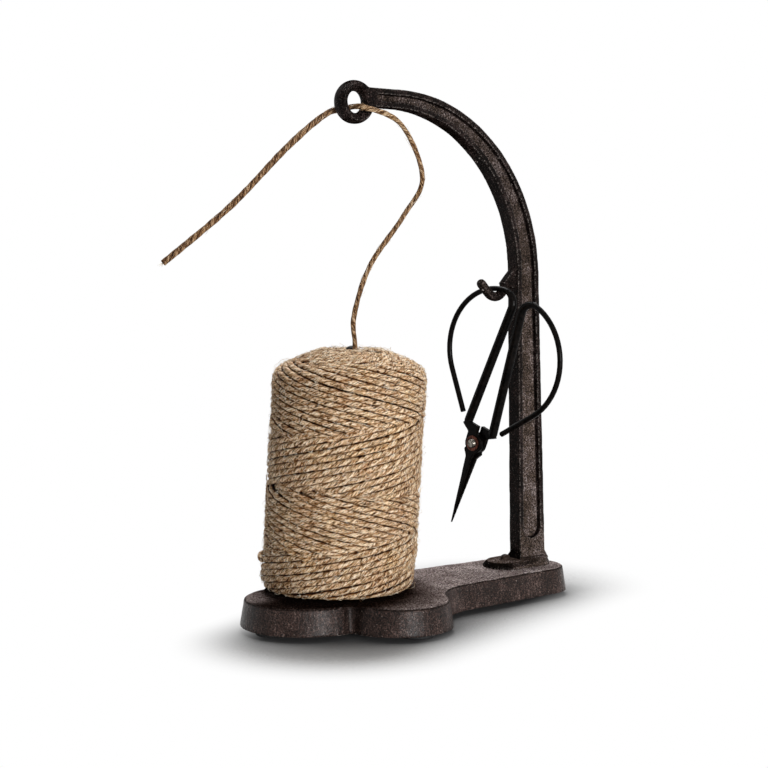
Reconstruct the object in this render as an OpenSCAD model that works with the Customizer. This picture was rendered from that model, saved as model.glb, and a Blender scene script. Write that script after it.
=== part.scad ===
// Cast-iron string holder: a club-shaped base carries a spindle with a spool of
// jute twine and an arched arm. The twine runs from the middle of the spool up
// through the eye at the end of the arm, and a small pair of scissors hangs from
// a hook on the arm. Millimetres, +Z up, origin on the table under the middle of
// the base. The long tongue of the base points to +X.

/* [Base] */
// Thickness of the base casting
base_h = 11.6; // [9:0.1:16]
// How far the sides spread out towards the bottom
base_draft = 1.6; // [0.5:0.1:3]
// Radius of the rounded top edge
edge_r = 1.1; // [0.8:0.1:3]
// Radius of the lobe at the nose
nose_r = 26; // [24:0.1:30]
// Distance of the nose lobe's centre from the spindle
nose_x = 25.4; // [23:0.1:28]
// Radius of each side lobe
side_r = 22.2; // [19:0.1:26]
// Distance of the side lobes' centres in front of the spindle
side_x = 2.5; // [0:0.1:5]
// Distance of the side lobes' centres from the middle plane
side_y = 28; // [25:0.1:32]
// Radius of the notch between the nose lobe and a side lobe
notch_r = 3; // [2:0.1:6]
// Distance from the spindle to the end of the tongue
tongue_end = 118.6; // [117:0.1:140]
// Half the width of the tongue at its end
tongue_half = 19; // [17:0.1:21]
// Angle at which each side of the tongue draws in, degrees
tongue_taper = 2.4; // [0:0.1:4]
// Radius of the corners of the tongue
tongue_corner_r = 15; // [8:0.1:16]
// Radius of the sweep from a side lobe into the tongue
root_r = 30; // [20:0.5:40]

/* [Feet] */
// Diameter of a rubber foot
foot_d = 15.5; // [10:0.1:17]
// Height of a rubber foot
foot_h = 2.2; // [1:0.1:4]
// Distance from the rim of the base's top to a foot
foot_inset = 2; // [1:0.1:6]

/* [Arm] */
// Thickness of the arm casting
arm_t = 7.5; // [6:0.1:10]
// Distance from the spindle to the outer face of the post at its foot
post_reach = 113.5; // [110:0.1:116]
// Distance from the spindle to the outer face where the arch springs
spring_reach = 108.1; // [104:0.1:110]
// Height above the base at which the arch springs
spring_z = 133.5; // [128:0.5:150]
// Outer radius of the arch
arch_r = 82.6; // [72:0.1:88]
// Width of the post at its foot
post_w = 16.3; // [14:0.1:19]
// Width of the post where the arch springs
spring_w = 13.3; // [12:0.1:16]
// Depth of the arm at its crown
crown_w = 8; // [6.6:0.1:9]
// Width of the rims round the sunk panel
rim_w = 2.5; // [1.5:0.1:3]
// Depth of the sunk panel on each side
panel_depth = 2.4; // [1:0.1:2.8]
// Height of the solid foot of the post below the panel
panel_z = 12.2; // [10:0.1:30]
// Outer diameter of the eye
eye_d = 18.6; // [17:0.1:22]
// Diameter of the eye's hole at its waist
eye_hole = 9.2; // [8:0.1:10]
// Diameter of the rims that the eye's hole flares out to
eye_rim_d = 15.8; // [14:0.1:16.4]
// Thickness of the eye from rim to rim
eye_t = 7.8; // [6.6:0.1:9]
// Distance of the eye's centre from the spindle's axis
eye_x = 1.4; // [0:0.1:3]
// Drop of the eye's centre below the top of the arm
eye_drop = 6.4; // [5:0.1:7.5]

/* [Hook] */
// Distance from the spindle to the lowest point of the hook
hook_x = 83.5; // [80:0.1:85]
// Height of the hook's centre above the base
hook_z = 132; // [126:0.1:134]
// Radius of the hook's middle line
hook_r = 6; // [5:0.1:7]
// Diameter of the hook's rod
hook_d = 4.4; // [3.6:0.1:5]
// Length of the hook's straight tip
hook_tip = 6; // [4:0.1:8]

/* [Foot plate] */
// Length of the foot plate on the spool's side of the post
plate_front = 16.6; // [14:0.1:20]
// Length of the foot plate behind the post
plate_back = 0.6; // [0.4:0.1:3]
// Width of the foot plate
plate_w = 21; // [16:0.1:26]
// Height of the foot plate
plate_h = 3.2; // [2.4:0.1:5]
// Height of the foot plate's toe
toe_h = 2.5; // [1.6:0.1:4]
// Slope of the foot plate's sides
plate_slope = 1; // [0.6:0.1:3]
// Slope of the foot plate's toe
toe_slope = 2.2; // [1:0.1:3]
// Radius of the foot plate's round toe
toe_r = 10; // [8:0.1:10.4]
// Corner radius of the foot plate behind the post
plate_r = 8; // [5:0.1:9]
// Width of the flare round the post's foot
flare_w = 1.6; // [0.8:0.1:2.4]
// Height of the flare above the foot plate
flare_h = 3; // [2:0.1:5]

/* [Fasteners] */
// Thread diameter of the screw in the foot plate
plate_screw_d = 2.6; // [2.4:0.1:3.2]
// Thread diameter of the screws under the spindle and the post
base_screw_d = 4; // [3:0.1:4.5]
// Length of the base screws' grip in the spindle and the post
base_screw_grip = 9; // [6:0.1:10]
// Distance from the screw in the foot plate to the post
plate_screw_gap = 6.4; // [5:0.1:8]
// Thickness of the washers under the base
washer_t = 0.8; // [0.5:0.1:1.2]
// Depth of the pockets under the base
pocket_h = 5.4; // [4.5:0.1:6.5]

/* [Spindle] */
// Diameter of the spindle
spindle_d = 7; // [6:0.1:7.4]
// Height of the spindle above the base
spindle_h = 106; // [90:0.5:112]
// Diameter of the spindle's collar
collar_d = 16; // [12:0.1:22]
// Height of the spindle's collar
collar_h = 0.6; // [0.4:0.1:2]

/* [Spool] */
// Radius of the spool of twine
spool_r = 33.4; // [30:0.1:36]
// Height of the spool of twine
spool_h = 104; // [96:0.5:110]
// Radius of the spool's rounded shoulder
shoulder_r = 13; // [8:0.1:15]
// Sideways lean of the wound twine from top to bottom
spool_lean = 5.6; // [0:0.1:6]
// Offset of the top of the spool from the spindle
spool_offset = 0.6; // [0:0.1:2]
// Diameter of the twine
twine_d = 2.5; // [2.2:0.1:3]
// Loops in the outer layer
twine_loops = 24; // [18:1:24]
// How far a loop in the middle lies aslant
twine_slant = 3.4; // [0:0.1:3.6]

/* [Scissors] */
// Lean of the hanging scissors, degrees
hang_tilt = 21.5; // [15:0.5:27]
// Turn of the scissors on the hook about the vertical, degrees
hang_yaw = 6; // [0:0.5:12]
// Height of the bows' middle above the rivet
bow_y = 45.1; // [42:0.1:50]
// Distance of a bow's centre from the middle line
bow_x = 5.6; // [5:0.1:7]
// Radius of a bow
bow_r = 28.2; // [25:0.1:30]
// Radius of the bend at the top of a shank
bend_r = 6; // [5:0.1:7]
// Diameter of a bow's wire
wire_d = 2.6; // [2.2:0.1:3]
// Diameter of a shank at the boss
shank_d = 4.4; // [3.6:0.1:4.8]
// Half the distance between the shanks at the boss
shank_x = 8; // [7:0.1:9]
// Half the distance between the shanks at their tops
shank_top_x = 3; // [2.6:0.1:3.4]
// Height of the shanks' feet above the rivet
shank_y = 8.1; // [7.6:0.1:10]
// Gap between a bow's free end and its shank
bow_end_gap = 4.6; // [4:0.1:7]
// Length of the blades below the rivet
blade_l = 42; // [34:0.5:52]
// Width of a closed blade at the boss
blade_w = 4.4; // [3.8:0.1:5.2]
// Thickness of a blade and of a boss
blade_t = 2; // [1.6:0.1:2.2]
// Radius of the boss round the rivet
boss_r = 5; // [4.6:0.1:5.6]
// Height of the crotch between the shanks above the rivet
crotch_y = 8.6; // [7.6:0.1:9.6]
// Height above the rivet at which the boss widens into the shanks
waist_y = 4; // [3:0.1:5]
// Diameter of the rivet
rivet_d = 3; // [2.4:0.1:3.4]
// Diameter of the rivet's washers
rivet_washer_d = 7.4; // [6.6:0.1:8]

/* [Fits] */
// Gap between pieces that move past each other
run_gap = 0.3; // [0.2:0.05:0.5]
// Radial clearance of the rivet in the turning blade
rivet_clear = 0.05; // [0.02:0.01:0.08]
// Radial clearance of a screw in its hole
screw_clear = 0.1; // [0.05:0.01:0.2]

/* [Hidden] */
$fn = 64;
hull_fn = 32;
slack = 0.02;

iron = "#3a322e";
steel = "#8b8680";
black = "#1a1817";
rubber = "#121212";
jute = "#b3926b";

// Where the spindle stands, so that the base is centred on the origin
spindle_x = (nose_x + nose_r - tongue_end) / 2;
base_top = foot_h + base_h;

// Outline of the base, from arcs that touch each other, on its -Y half
nose_c = [-nose_x, 0];
side_c = [side_x, -side_y];
corner_c = [tongue_end - tongue_corner_r, tongue_corner_r - tongue_half];
taper_dir = [cos(tongue_taper), sin(tongue_taper)];
taper_out = [sin(tongue_taper), -cos(tongue_taper)];
root_m = taper_out * (corner_c - side_c) + tongue_corner_r + root_r;
root_c = side_c + root_m * taper_out + sqrt(pow(side_r + root_r, 2) - root_m * root_m) * taper_dir;
notch_c = meet(nose_c, nose_r + notch_r, side_c, side_r + notch_r);

// Places of the feet, measured from the spindle
foot_edge = foot_inset + foot_d / 2;
foot_nose_at = [-nose_x - nose_r + foot_edge, 0];
foot_front_at = [side_x, -side_y - side_r + foot_edge];
foot_rear_at = [side_x, side_y + side_r - foot_edge];
foot_tongue_at = [tongue_end - foot_edge, 0];

// Arm: the inner arc is set off from the outer one, so that the arm tapers
arch_c = [spring_reach - arch_r, spring_z];
inner_r = arch_r - (spring_w + crown_w) / 2;
inner_c = arch_c + (spring_w - crown_w) / 2 * [-1, 1];
arm_top = spring_z + arch_r;
eye_z = arm_top - eye_drop;
bell_rise = (eye_rim_d - eye_hole) / 2;
bell_r = bulge_r(eye_t / 2, bell_rise);
rim_rise = (eye_d - eye_rim_d) / 2;
back_r = bulge_r(eye_t / 2, rim_rise);
panel_gap = 0.4;
web_rise = 7.7;
post_inner = post_reach - post_w;
panel_start_x = eye_x + eye_d / 2 + panel_gap;
hook_sides = 14;

// Fasteners
plate_screw_x = post_inner - plate_screw_gap;
plate_head_d = 1.75 * plate_screw_d;
plate_head_h = 0.95 * plate_screw_d;
nut_d = 2.1 * plate_screw_d;
nut_h = 0.8 * plate_screw_d;
base_head_d = 1.9 * base_screw_d;
base_head_h = 0.6 * base_screw_d;
base_washer_d = 2.25 * base_screw_d;
plate_washer_d = 2.4 * plate_screw_d;
pocket_gap = 0.6;
post_screw_x = post_inner + post_w / 2;
thread_end = base_screw_grip + 1;
thread_stub = 0.3;
slot_w = 0.14;

// Spool
spool_z = collar_h + run_gap;
bore_r = spindle_d / 2 + twine_d + 2.4 * run_gap;
hem_r = 4;
lean_dir = [-0.78, 0.63];
rings_a_loop = 24;
tube_sides = 6;
winding_gap = 0.3;
core_inset = twine_d + winding_gap + spool_r * (1 - cos(180 / rings_a_loop));
winding_low = twine_d / 2;
winding_end = 56;
winding_high = spool_h - shoulder_r + shoulder_r * PI * winding_end / 180;
winding_pitch = (winding_high - winding_low) / twine_loops;
slant_dir = 140;
core_sides = 48;
crown_rise = 3;

// Scissors, in their own plane: x across, y up from the rivet, z to the front
bow_c = [bow_x, bow_y];
shank_foot = [shank_x, shank_y];
bend_cx = shank_top_x + bend_r;
bend_c = [bend_cx, bow_y + sqrt(pow(bow_r - bend_r, 2) - pow(bend_cx - bow_x, 2))];
shank_top = touch(shank_foot, bend_c, bend_r, 1);
bow_end = [shank_x + bow_end_gap, shank_y + shank_d / 2];
bow_leave = touch(bow_end, bow_c, bow_r, -1);
wire_sides = 10;
shank_steps = 3;
bend_steps = 6;
bend_end = shank_steps + bend_steps;
bow_step = 6;
boss_low = run_gap / 2;
boss_high = boss_low + blade_t;
neck_draw = 0.8;
shoulder_drop = 3;
tip_w = 0.5;
tip_t = 0.3;
rivet_head_h = 1.2;
rivet_washer_t = 0.6;
rivet_head_d = rivet_d + 1.6;
crest_z = hook_z - hook_r + hook_d / 2 + run_gap + wire_d / 2;
hang_c = turn([-bow_x, bow_y], -hang_tilt);
rivet_at = [-hang_c[0], crest_z - bow_r - hang_c[1]];

// Points that the string passes: x and y from the spindle, z above the base
string_in = (spindle_d / 2 + bore_r) / 2 * [-0.39, -0.92];
string_knots = [
    [string_in[0], string_in[1], spool_h - 16], [string_in[0], string_in[1], spool_h + 2],
    [-3, -5.4, spool_h + 15], [3, -8.6, spool_h + 36],
    [16, -15, eye_z - 48.7], [23.4, -19, eye_z - 32], [16.2, -13.6, eye_z - 9.7],
    [eye_x + 1.7, -4.8, eye_z - 2.5], [eye_x - 2, 4.8, eye_z - 2.7], [-7.6, 9.2, eye_z - 5.4],
    [-20.6, 18.6, eye_z - 19.2], [-40, 33.2, eye_z - 44.3], [-62.2, 51.8, eye_z - 68.4]
];
string_steps = 3;
string_sides = 8;

// Where a face of the post lies at a height, from its places at the foot and at the spring
function post_face(z, foot_x, spring_x) = foot_x + (spring_x - foot_x) * z / spring_z;

// Point at distances ra from a and rb from b, on the outer side of the base
function meet(a, ra, b, rb) =
    let (d = norm(b - a), u = (b - a) / d, s = (ra * ra - rb * rb + d * d) / (2 * d))
    a + s * u + sqrt(ra * ra - s * s) * [u[1], -u[0]];

// Radius of an arc with half this chord and this rise
function bulge_r(half, rise) = (half * half + rise * rise) / (2 * rise);

// Smooth path through points
function smooth(p, steps) = concat(
    [for (i = [0 : len(p) - 2], k = [0 : steps - 1])
        let (
            a = p[max(i - 1, 0)], b = p[i], c = p[i + 1], d = p[min(i + 2, len(p) - 1)],
            t = k / steps
        )
        b + t / 2 * (c - a + t * (2 * a - 5 * b + 4 * c - d + t * (3 * b - a - 3 * c + d)))],
    [p[len(p) - 1]]
);

function turn(p, a) = [p[0] * cos(a) - p[1] * sin(a), p[0] * sin(a) + p[1] * cos(a)];
function angle_to(a, b) = atan2(b[1] - a[1], b[0] - a[0]);
function arc(c, r, from, to, steps) =
    [for (k = [0 : steps])
        let (a = from + (to - from) * k / steps)
        c + r * [cos(a), sin(a)]];

// Where the line from p touches the circle round c
function touch(p, c, r, hand) =
    let (a = angle_to(c, p) - hand * acos(r / norm(p - c)))
    c + r * [cos(a), sin(a)];

// Half outline of the base, drawn in by the given amount
function half_plan(inset) = concat(
    arc(nose_c, nose_r - inset, 180, 360 + angle_to(nose_c, notch_c), 16),
    arc(notch_c, notch_r + inset, angle_to(notch_c, nose_c), angle_to(notch_c, side_c), 5),
    arc(side_c, side_r - inset, angle_to(side_c, notch_c), angle_to(side_c, root_c), 18),
    arc(root_c, root_r + inset, angle_to(root_c, side_c), 90 + tongue_taper, 8),
    arc(corner_c, tongue_corner_r - inset, tongue_taper - 90, 0, 9)
);
function plan(inset) =
    let (half = half_plan(inset), last = len(half) - 1)
    concat(half, [for (k = [last : -1 : 1]) [half[k][0], -half[k][1]]]);

// Radius and height of the spool's side, at a length along it from its bottom
function spool_side(s) =
    let (
        straight = spool_h - shoulder_r,
        up = (s - straight) / shoulder_r * 180 / PI,
        low = max(0, 1 - s / hem_r)
    )
    s > straight ?
        [spool_r - shoulder_r * (1 - cos(up)), spool_z + straight + shoulder_r * sin(up)] :
        [spool_r - hem_r * (1 - sqrt(1 - low * low)), spool_z + s];
function spool_mid(z) = (spool_offset + spool_lean * (1 - (z - spool_z) / spool_h)) * lean_dir;

// Middle line of the outer layer of twine
function winding_point(k) =
    let (
        turns = k / rings_a_loop,
        slant = twine_slant * pow(sin(180 * turns / twine_loops), 2) * cos(360 * turns - slant_dir),
        side = spool_side(winding_low + winding_pitch * turns + slant),
        tuck = max(0, side[1] - spool_z - spool_h + shoulder_r) / shoulder_r,
        r = side[0] - twine_d / 2 * sqrt(1 - tuck * tuck),
        z = side[1] - twine_d / 2 * tuck,
        mid = spool_mid(z)
    )
    [mid[0] + r * cos(360 * turns), mid[1] + r * sin(360 * turns), z];

// Middle line of one bow, from the shank's foot round to the free end
function bow_path() = concat(
    [for (k = [0 : shank_steps - 1]) shank_foot + k / shank_steps * (shank_top - shank_foot)],
    arc(bend_c, bend_r, 180 + angle_to(shank_top, bend_c), angle_to(bow_c, bend_c), bend_steps),
    arc(bow_c, bow_r, angle_to(bow_c, bend_c) - bow_step, angle_to(bow_c, bow_leave), 20),
    [(bow_leave + bow_end) / 2, bow_end]
);

// Frames along a path that don't twist: each side vector is carried on to the next ring
function unit(v) = v / norm(v);
function tangents(path) =
    let (last = len(path) - 1)
    [for (k = [0 : last]) unit(path[min(k + 1, last)] - path[max(k - 1, 0)])];
function carried(v, t) = unit(v - (v * t) * t);
function side_vectors(t, first) =
    [for (k = 0, v = carried(first, t[0]); k < len(t); k = k + 1, v = k < len(t) ? carried(v, t[k]) : v) v];
function tube_rings(path, radii, first, sides) =
    let (t = tangents(path), s = side_vectors(t, first))
    [for (k = [0 : len(path) - 1])
        let (b = cross(t[k], s[k]))
        [for (j = [0 : sides - 1])
            path[k] + radii[k] * (cos(360 * j / sides) * s[k] + sin(360 * j / sides) * b)]];

// Closed solid through rings of equal length
module skin(rings) {
    n = len(rings[0]);
    last = len(rings) - 1;
    sides = [for (i = [0 : last - 1], j = [0 : n - 1], half = [0, 1])
        let (a = i * n + j, b = i * n + (j + 1) % n)
        half == 0 ? [a, a + n, b + n] : [a, b + n, b]];
    low = [for (j = [0 : n - 1]) j];
    high = [for (j = [n - 1 : -1 : 0]) last * n + j];
    polyhedron(points = [for (ring = rings) each ring], faces = concat([low], sides, [high]), convexity = 10);
}

module tube(path, radii, first, sides) {
    skin(tube_rings(path, radii, first, sides));
}

module at_spindle() {
    translate([spindle_x, 0, base_top])
        children();
}

// Cylinder from one height to another, at x and y from the spindle
module post_at(x, y, low, high, d) {
    translate([x, y, low])
        cylinder(d = d, h = high - low);
}

// Flat shape in the plane of the arm, drawn in x and z
module upright(t) {
    rotate([90, 0, 0])
        translate([0, 0, -t / 2])
            linear_extrude(t)
                children();
}

module base() {
    edge_steps = 4;
    rim = [for (k = [0 : edge_steps])
        let (a = 90 * k / edge_steps)
        [edge_r * (1 - cos(a)), -edge_r * (1 - sin(a))]];
    layers = concat([[-base_draft, -base_h]], rim);
    rings = [for (layer = layers) [for (p = plan(layer[0])) [p[0], p[1], layer[1]]]];
    color(iron)
        at_spindle()
            difference() {
                skin(rings);
                screw_pocket(0, base_screw_d, base_washer_d);
                screw_pocket(post_screw_x, base_screw_d, base_washer_d);
                screw_pocket(plate_screw_x, plate_screw_d, plate_washer_d);
            }
}

// Pocket under the base with a clear hole up through its top
module screw_pocket(x, screw_d, seat_d) {
    post_at(x, 0, -base_h - 1, -base_h + pocket_h, seat_d + 2 * pocket_gap);
    post_at(x, 0, -base_h, 1, screw_d + 2 * screw_clear);
}

module rubber_foot(at) {
    bevel = foot_h / 4;
    color(rubber)
        translate([spindle_x + at[0], at[1], 0]) {
            cylinder(d1 = foot_d - 2 * bevel, d2 = foot_d, h = bevel);
            translate([0, 0, bevel])
                cylinder(d = foot_d, h = foot_h - bevel);
        }
}

module foot_nose() {
    rubber_foot(foot_nose_at);
}

module foot_front() {
    rubber_foot(foot_front_at);
}

module foot_rear() {
    rubber_foot(foot_rear_at);
}

module foot_tongue() {
    rubber_foot(foot_tongue_at);
}

// Side view of the arm from the foot to the eye, drawn in by the given amount
module arm_side(inset, t) {
    upright(t)
        polygon([
            [post_inner + inset, 0], [post_reach - inset, 0],
            [spring_reach - inset, spring_z], [inner_c[0] + inner_r + inset, inner_c[1]],
            [inner_c[0] + inner_r + inset, spring_z]
        ]);
    intersection() {
        difference() {
            upright(t)
                translate(arch_c)
                    circle(arch_r - inset, $fn = 128);
            upright(t + 1)
                translate(inner_c)
                    circle(inner_r + inset, $fn = 128);
        }
        upright(t)
            translate([inner_c[0], spring_z])
                square(arch_r + arch_c[0]);
    }
    upright(t)
        translate([eye_x, arm_top - crown_w + inset])
            square([arch_c[0] - eye_x, crown_w - 2 * inset]);
}

// Sunk panel on one side of the arm, with round ends
module arm_panel() {
    cut_z = panel_z + post_w / 2 - rim_w;
    left = post_face(cut_z, post_inner, inner_c[0] + inner_r) + rim_w;
    right = post_face(cut_z, post_reach, spring_reach) - rim_w;
    end_r = crown_w / 2 - rim_w;
    difference() {
        arm_side(rim_w, panel_depth + slack);
        upright(panel_depth + 1)
            translate([post_inner - post_w, -1])
                square([3 * post_w, cut_z + 1]);
        upright(panel_depth + 1)
            translate([-1, arm_top - crown_w])
                square([panel_start_x + end_r + 1, crown_w]);
    }
    upright(panel_depth + slack) {
        translate([(left + right) / 2, cut_z])
            circle((right - left) / 2 - slack);
        translate([panel_start_x + end_r, arm_top - crown_w / 2])
            circle(end_r);
    }
}

// Ring whose hole flares to both sides, so that the string doesn't chafe
module eye_ring() {
    translate([eye_x, 0, eye_z])
        rotate([90, 0, 0])
            rotate_extrude($fn = 96)
                intersection() {
                    translate([eye_hole / 2 + bell_r, 0])
                        circle(bell_r);
                    translate([eye_d / 2 - back_r, 0])
                        circle(back_r);
                }
}

// Hook cast on the inner edge of the post: a bent rod with a round tip, on a small web
module hook() {
    tip_a = 225;
    tip_dir = [sin(tip_a), -cos(tip_a)];
    tip_from = [hook_x, hook_z] + hook_r * [cos(tip_a), sin(tip_a)];
    bend = arc([hook_x, hook_z], hook_r, 360, tip_a, 9);
    dome = [for (a = [0 : 30 : 60]) tip_from + (hook_tip + hook_d / 2 * sin(a)) * tip_dir];
    path = concat([[hook_x + hook_r, hook_z + 1]], bend, dome);
    dome_at = len(path) - len(dome);
    radii = [for (k = [0 : len(path) - 1]) hook_d / 2 * (k < dome_at ? 1 : cos(30 * (k - dome_at)))];
    web_top = hook_z + web_rise;
    web_x = inner_c[0] + inner_r;
    tube([for (p = path) [p[0], 0, p[1]]], radii, [0, 1, 0], hook_sides);
    upright(hook_d - 0.4)
        polygon([
            [hook_x + hook_r - hook_d / 2, hook_z], [web_x - slack, web_top], [web_x + rim_w, web_top],
            [web_x + rim_w, hook_z - hook_r / 2], [hook_x + hook_r + hook_d / 2, hook_z - hook_r / 4]
        ]);
}

// Flat foot plate whose toe slopes down, clear of the screw's head
module foot_plate() {
    low_x = post_inner - plate_front;
    high_x = post_reach + plate_back;
    ends = [[low_x + toe_r, toe_r, toe_slope], [high_x - plate_r, plate_r, plate_slope]];
    toe_x = plate_screw_x - plate_head_d / 2 - run_gap;
    difference() {
        hull()
            for (end = ends, side = [-1, 1])
                translate([end[0], side * (plate_w / 2 - end[1]), 0]) {
                    cylinder(r = end[1], h = plate_h / 3, $fn = hull_fn);
                    cylinder(r = end[1] - end[2], h = plate_h, $fn = hull_fn);
                }
        upright(plate_w + 2)
            polygon([
                [low_x - 1, toe_h], [low_x, toe_h], [toe_x, plate_h], [toe_x, 2 * plate_h],
                [low_x - 1, 2 * plate_h]
            ]);
    }
}

// Flare where the post grows out of the foot plate
module post_flare() {
    sink = 0.2;
    low = plate_h - 1;
    hull() {
        translate([post_inner - flare_w, -arm_t / 2 - flare_w, low])
            cube([post_w + plate_back + flare_w, arm_t + 2 * flare_w, sink]);
        translate([post_inner + sink, sink - arm_t / 2, plate_h + flare_h - sink])
            cube([post_w - 3 * sink, arm_t - 2 * sink, sink]);
    }
}

module arm() {
    color(iron)
        at_spindle()
            difference() {
                union() {
                    difference() {
                        arm_side(0, arm_t);
                        translate([eye_x, 0, eye_z])
                            rotate([90, 0, 0])
                                cylinder(d = eye_rim_d, h = arm_t + 2, center = true);
                    }
                    eye_ring();
                    hook();
                    foot_plate();
                    post_flare();
                }
                for (side = [-1, 1])
                    translate([0, side * (arm_t - panel_depth) / 2, 0])
                        arm_panel();
                post_at(plate_screw_x, 0, -1, plate_h + 1, plate_screw_d + 2 * screw_clear);
                post_at(post_screw_x, 0, -1, thread_end, base_screw_d + 2 * screw_clear);
            }
}

// Round-headed screw that goes down through the foot plate and the base
module plate_screw() {
    end = -base_h + pocket_h - washer_t - nut_h - thread_stub;
    dome_r = bulge_r(plate_head_d / 2, plate_head_h / 2);
    color(steel)
        at_spindle() {
            post_at(plate_screw_x, 0, end, plate_h + slack, plate_screw_d);
            translate([plate_screw_x, 0, plate_h])
                difference() {
                    intersection() {
                        cylinder(d = plate_head_d, h = plate_head_h);
                        translate([0, 0, plate_head_h - dome_r])
                            sphere(dome_r);
                    }
                    translate([-plate_head_d / 2, -slot_w * plate_head_d / 2, plate_head_h / 2])
                        cube([plate_head_d, slot_w * plate_head_d, plate_head_h]);
                }
        }
}

module flat_washer(x, outer_d, inner_d) {
    high = -base_h + pocket_h;
    color(steel)
        at_spindle()
            difference() {
                post_at(x, 0, high - washer_t, high, outer_d);
                post_at(x, 0, high - washer_t - 1, high + 1, inner_d + 2 * screw_clear);
            }
}

module plate_washer() {
    flat_washer(plate_screw_x, plate_washer_d, plate_screw_d);
}

module plate_nut() {
    high = -base_h + pocket_h - washer_t;
    color(steel)
        at_spindle()
            difference() {
                translate([plate_screw_x, 0, high - nut_h])
                    cylinder(d = nut_d, h = nut_h, $fn = 6);
                post_at(plate_screw_x, 0, high - nut_h - 1, high + 1, plate_screw_d + 2 * screw_clear);
            }
}

// Pan-headed screw that goes up through the base
module base_screw(x) {
    seat = -base_h + pocket_h - washer_t;
    slot_h = base_head_h / 2;
    color(steel)
        at_spindle()
            difference() {
                union() {
                    post_at(x, 0, seat - slack, base_screw_grip, base_screw_d);
                    post_at(x, 0, seat - base_head_h, seat, base_head_d);
                }
                translate([x - base_head_d / 2, -slot_w * base_head_d / 2, seat - base_head_h - 1])
                    cube([base_head_d, slot_w * base_head_d, slot_h + 1]);
            }
}

module post_screw() {
    base_screw(post_screw_x);
}

module post_washer() {
    flat_washer(post_screw_x, base_washer_d, base_screw_d);
}

module spindle_screw() {
    base_screw(0);
}

module spindle_washer() {
    flat_washer(0, base_washer_d, base_screw_d);
}

module spindle() {
    tip_r = spindle_d / 2;
    color(black)
        at_spindle()
            difference() {
                union() {
                    post_at(0, 0, 0, collar_h, collar_d);
                    post_at(0, 0, 0, spindle_h - tip_r, spindle_d);
                    translate([0, 0, spindle_h - tip_r])
                        sphere(tip_r);
                }
                post_at(0, 0, -1, thread_end, base_screw_d + 2 * screw_clear);
            }
}

// Body of the wound twine, under its outer layer, with the bore for the spindle
module twine_package() {
    low = spool_z;
    top = spool_z + spool_h;
    straight = spool_h - shoulder_r;
    core_shoulder = shoulder_r - core_inset;
    core_r = spool_r - core_inset;
    sides = concat(
        [for (a = [0 : 30 : 90]) [core_r - hem_r * (1 - sin(a)), low + hem_r * (1 - cos(a))]],
        [for (k = [1 : 3]) [core_r, low + hem_r + (straight - hem_r) * k / 3]],
        [for (a = [18 : 18 : 90])
            [core_r - core_shoulder * (1 - cos(a)), low + straight + core_shoulder * sin(a)]],
        [[bore_r + twine_d, top - core_inset + crown_rise]]
    );
    rings = [for (side = sides)
        let (mid = spool_mid(side[1]))
        [for (j = [0 : core_sides - 1])
            let (p = mid + side[0] * [cos(360 * j / core_sides), sin(360 * j / core_sides)])
            [p[0], p[1], side[1]]]];
    color(jute)
        at_spindle()
            difference() {
                skin(rings);
                post_at(0, 0, low - 1, top + 1, 2 * bore_r);
            }
}

// Outer layer: one unbroken run of twine, with straight ends
module twine_winding() {
    last = twine_loops * rings_a_loop;
    loops = [for (k = [0 : last]) winding_point(k)];
    path = concat(
        [loops[0] + twine_d * unit(loops[0] - loops[1])],
        loops,
        [loops[last] + twine_d * unit(loops[last] - loops[last - 1])]
    );
    gaps = [for (i = [0 : last - rings_a_loop], j = [-3 : 3])
        let (other = i + rings_a_loop + j)
        other <= last ? norm(loops[i] - loops[other]) - twine_d : twine_d];
    echo(least_gap_between_loops = min(gaps));
    color(jute)
        at_spindle()
            tube(path, [for (p = path) twine_d / 2], [0, 0, 1], tube_sides);
}

// Free twine from the spool through the eye
module string() {
    path = smooth(string_knots, string_steps);
    color(jute)
        at_spindle()
            tube(path, [for (p = path) twine_d / 2], [1, 0, 0], string_sides);
}

// From the scissors' own plane to the hook: x goes to the front side, y goes up
module at_hook() {
    at_spindle()
        translate([hook_x, 0, 0])
            rotate([0, 0, hang_yaw - 90])
                rotate([90, 0, 0])
                    translate([rivet_at[0], rivet_at[1], 0])
                        rotate([0, 0, -hang_tilt])
                            children();
}

// One half with its handle on the right: shank with a round foot, bow, boss with its half of the
// crotch, and blade. Its boss lies behind the middle plane
module scissor_half(pin_hole) {
    path = bow_path();
    dome = [60, 30];
    below = [for (a = dome) shank_foot - shank_d / 2 * sin(a) * unit(path[1] - path[0])];
    radii = concat(
        [for (a = dome) shank_d / 2 * cos(a)],
        [for (k = [0 : len(path) - 1])
            let (thinned = pow(min(1, k / bend_end), 2))
            (shank_d + (wire_d - shank_d) * thinned) / 2]
    );
    path_3d = [for (p = concat(below, path)) [p[0], p[1], 0]];
    foot_dir = unit(shank_foot);
    foot_out = shank_foot + shank_d / 2 * [foot_dir[1], -foot_dir[0]];
    difference() {
        union() {
            tube(path_3d, radii, [0, 0, 1], wire_sides);
            translate([0, 0, -boss_high])
                linear_extrude(blade_t) {
                    circle(boss_r);
                    polygon([
                        [0, 0], [boss_r, 0], [boss_r, waist_y], foot_out, shank_foot,
                        [shank_x - shank_d / 2, crotch_y], [0, crotch_y]
                    ]);
                }
            blade();
        }
        translate([0, 0, -boss_high - 1])
            cylinder(d = pin_hole, h = boss_high + 2);
    }
}

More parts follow.
